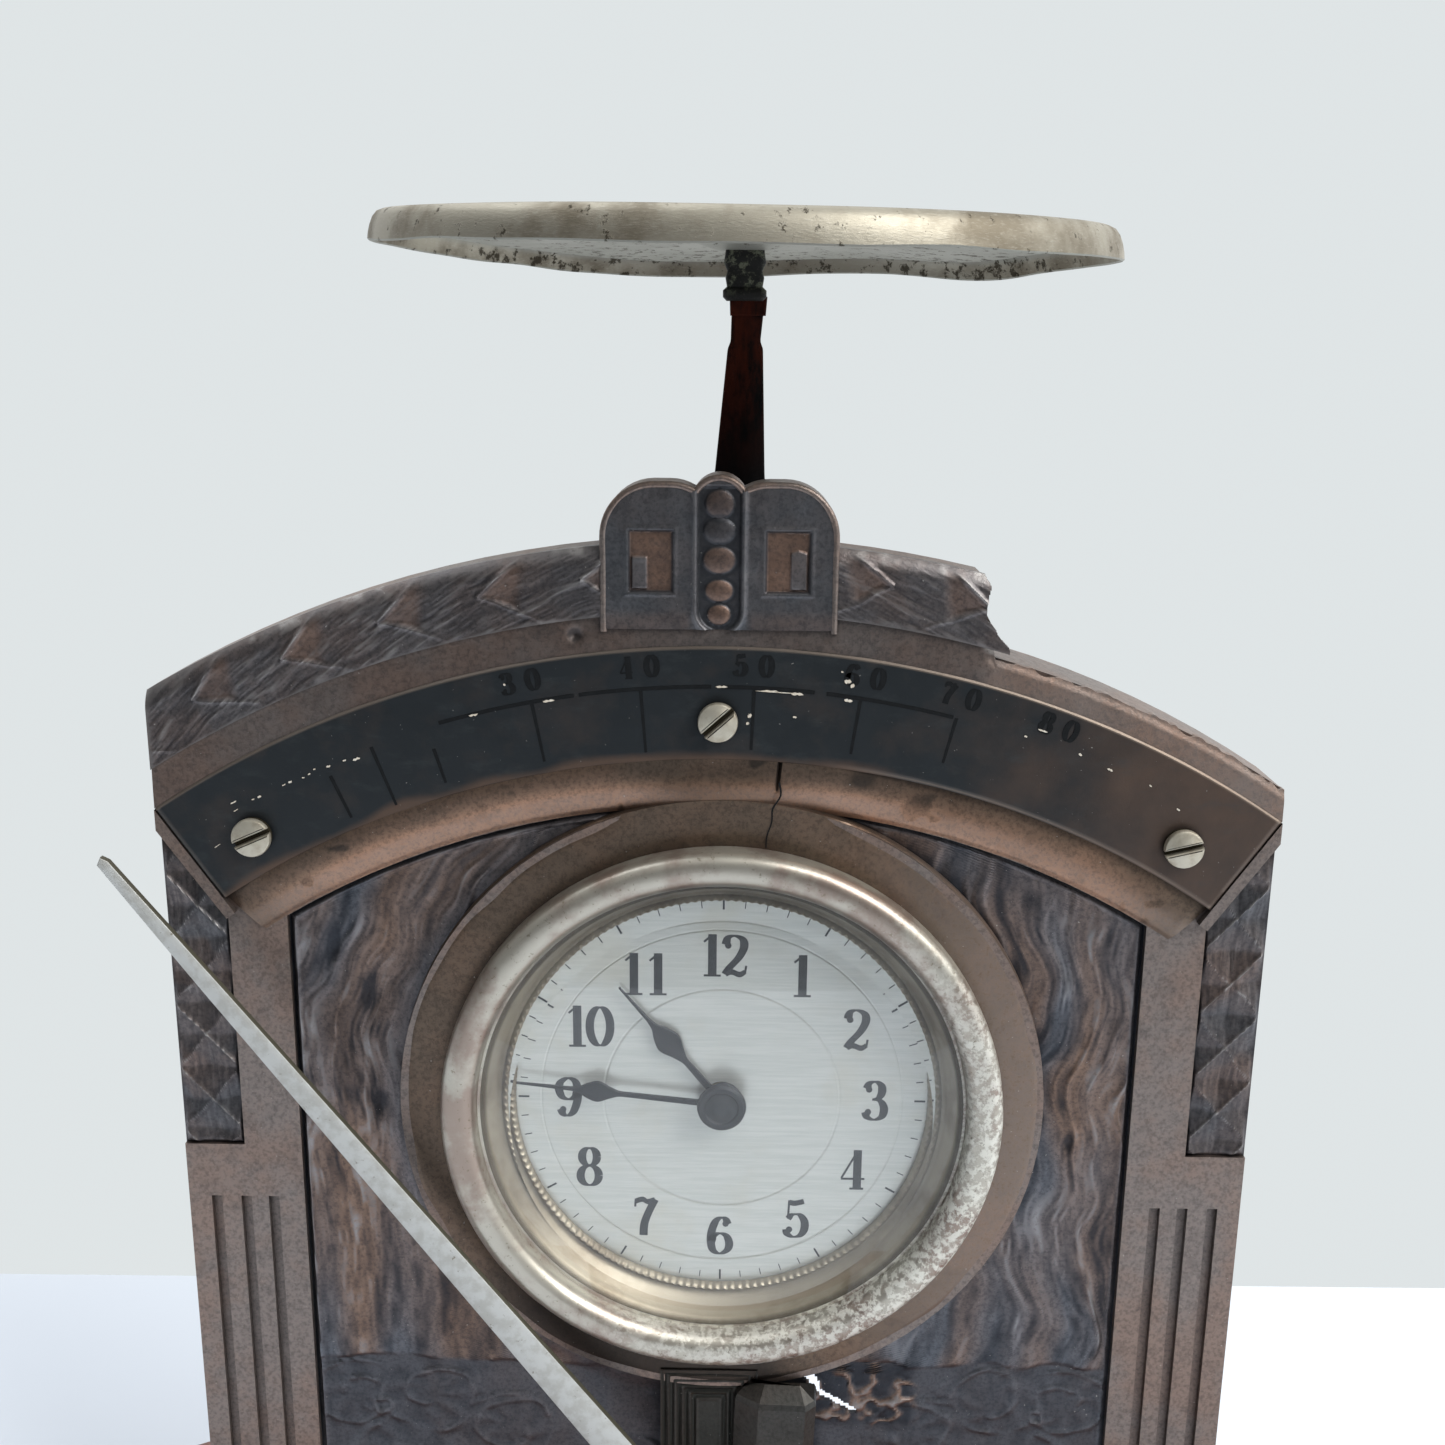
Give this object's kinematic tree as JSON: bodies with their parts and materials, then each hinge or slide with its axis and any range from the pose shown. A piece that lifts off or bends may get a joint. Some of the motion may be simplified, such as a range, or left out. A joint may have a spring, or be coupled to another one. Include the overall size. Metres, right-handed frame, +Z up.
{
  "type": "letter scale with clock",
  "caption": "Arched cast letter scale with a round clock, a curved graduated plate, a long pointer and a round pan on a stem above its crest.",
  "frame": {"origin": "centre of the felt underside, on the table", "axes": "+Z up, -Y towards the viewer of the dial, +X to the right seen from the front"},
  "size_m": [0.2106, 0.1215, 0.228],
  "materials": {
    "copper_patina": "aged copper plating over a casting, brown-grey patina with copper rubbed high spots",
    "base_copper": "red-brown copper finish, satin",
    "felt": "felt sheet",
    "blackened_plate": "blue-black oxidised sheet with stamped graduations",
    "nickel": "worn nickel plate, champagne tint, speckled with corrosion",
    "nickel_screw": "dulled nickel-plated screws",
    "pan_nickel": "dull nickel plate, rust-spotted underside",
    "pointer_white": "pale brushed bar with olive tarnished sides",
    "iron_black": "near-black rusted iron sheet",
    "silvered_dial": "brushed silvered dial with black numerals",
    "sight_brass": "polished brass with a milled bead",
    "glass": "bevelled clear glass",
    "hand_blue": "blue-black hands",
    "mechanism_brass": "aged machined brass",
    "mechanism_steel": "turned steel"
  },
  "bodies": {
    "stand": {"base_slab": "base_copper", "base_felt": "felt", "front_casting": "copper_patina", "casting_screws": "mechanism_steel", "number_plate": "blackened_plate", "number_plate_screws": "nickel_screw", "arbor_front_bush": "mechanism_brass", "bearing_bracket": "iron_black", "bracket_screws": "mechanism_steel", "arbor_rear_bush": "mechanism_brass", "guide_stud": "mechanism_steel", "lever_stop_pin": "mechanism_steel", "clock_drum": "nickel", "clock_bezel": "nickel", "clock_glass": "glass", "clock_sight_ring": "sight_brass", "clock_dial": "silvered_dial", "clock_back_cover": "mechanism_brass", "back_cover_screws": "mechanism_steel", "clock_clamps": "mechanism_brass", "clamp_screws": "mechanism_steel", "movement_front_plate": "mechanism_brass", "movement_back_plate": "mechanism_brass", "movement_pillars": "mechanism_brass", "motion_wheel_stud": "mechanism_steel", "balance_cock": "mechanism_brass"},
    "minute_work": {"centre_wheel": "mechanism_brass", "cannon_pinion": "mechanism_steel", "minute_hand": "hand_blue", "hand_hub": "hand_blue"},
    "motion_work": {"motion_wheel": "mechanism_brass"},
    "hour_work": {"hour_wheel": "mechanism_brass", "hour_hand": "hand_blue"},
    "hand_setter": {"set_pinion": "mechanism_steel", "set_knob": "mechanism_brass"},
    "barrel": {"mainspring_barrel": "mechanism_brass", "mainspring": "mechanism_steel"},
    "third": {"third_wheel": "mechanism_brass"},
    "winder": {"barrel_arbor": "mechanism_steel", "winding_key": "mechanism_brass"},
    "balance": {"balance_wheel": "mechanism_brass"},
    "regulator": {"regulator_lever": "mechanism_steel"},
    "lever": {"pointer_arbor": "mechanism_steel", "pointer": "pointer_white", "pointer_hub": "mechanism_brass", "pointer_nut": "mechanism_brass", "pan_arm": "mechanism_brass", "pan_arm_pin": "mechanism_steel", "lever_boss": "mechanism_brass", "weight_arm": "mechanism_brass", "counterweight": "mechanism_brass", "weight_screw": "mechanism_steel"},
    "guide": {"guide_arm": "mechanism_brass", "guide_arm_pin": "mechanism_steel"},
    "pan_carrier": {"pan_stem": "iron_black", "stem_socket": "iron_black", "weighing_pan": "pan_nickel", "pan_screw": "nickel_screw"}
  },
  "joints": [
    {"name": "weighing_lever", "type": "hinge", "parent": "stand", "child": "lever", "pos_m": [0, 0, 0.0403], "axis": [0, 1, 0], "range_deg": [0, 71]},
    {"name": "guide_swing", "type": "hinge", "parent": "stand", "child": "guide", "pos_m": [0, 0, 0.0643], "axis": [0, 1, 0], "range_deg": [0, 71]},
    {"name": "pan_level", "type": "hinge", "parent": "lever", "child": "pan_carrier", "pos_m": [0.00819, 0, 0.04604], "axis": [0, 1, 0], "range_deg": [-71, 0]},
    {"name": "minute_turn", "type": "hinge", "parent": "stand", "child": "minute_work", "pos_m": [0.001, 0, 0.1085], "axis": [0, 1, 0], "continuous": true},
    {"name": "motion_turn", "type": "hinge", "parent": "stand", "child": "motion_work", "pos_m": [0.01108, 0, 0.1085], "axis": [0, 1, 0], "continuous": true},
    {"name": "hour_turn", "type": "hinge", "parent": "stand", "child": "hour_work", "pos_m": [0.001, 0, 0.1085], "axis": [0, 1, 0], "continuous": true},
    {"name": "set_knob_turn", "type": "hinge", "parent": "stand", "child": "hand_setter", "pos_m": [0.02116, 0, 0.1085], "axis": [0, 1, 0], "continuous": true},
    {"name": "barrel_turn", "type": "hinge", "parent": "stand", "child": "barrel", "pos_m": [-0.0125, 0, 0.1085], "axis": [0, 1, 0], "continuous": true},
    {"name": "third_turn", "type": "hinge", "parent": "stand", "child": "third", "pos_m": [0.0064, 0, 0.11785], "axis": [0, 1, 0], "continuous": true},
    {"name": "winding_turn", "type": "hinge", "parent": "stand", "child": "winder", "pos_m": [-0.0125, 0, 0.1085], "axis": [0, 1, 0], "continuous": true},
    {"name": "balance_swing", "type": "hinge", "parent": "stand", "child": "balance", "pos_m": [0.001, 0, 0.0915], "axis": [0, 1, 0], "range_deg": [-135, 135]},
    {"name": "regulator_shift", "type": "hinge", "parent": "stand", "child": "regulator", "pos_m": [0.001, 0, 0.0915], "axis": [0, 1, 0], "range_deg": [-20, 20]}
  ],
  "couplings": [
    {"joint": "guide_swing", "follows": "weighing_lever", "ratio": 1},
    {"joint": "pan_level", "follows": "weighing_lever", "ratio": -1},
    {"joint": "motion_turn", "follows": "minute_turn", "ratio": -0.33333},
    {"joint": "hour_turn", "follows": "minute_turn", "ratio": 0.083333},
    {"joint": "set_knob_turn", "follows": "minute_turn", "ratio": 1},
    {"joint": "barrel_turn", "follows": "minute_turn", "ratio": -0.125},
    {"joint": "third_turn", "follows": "minute_turn", "ratio": -8}
  ]
}
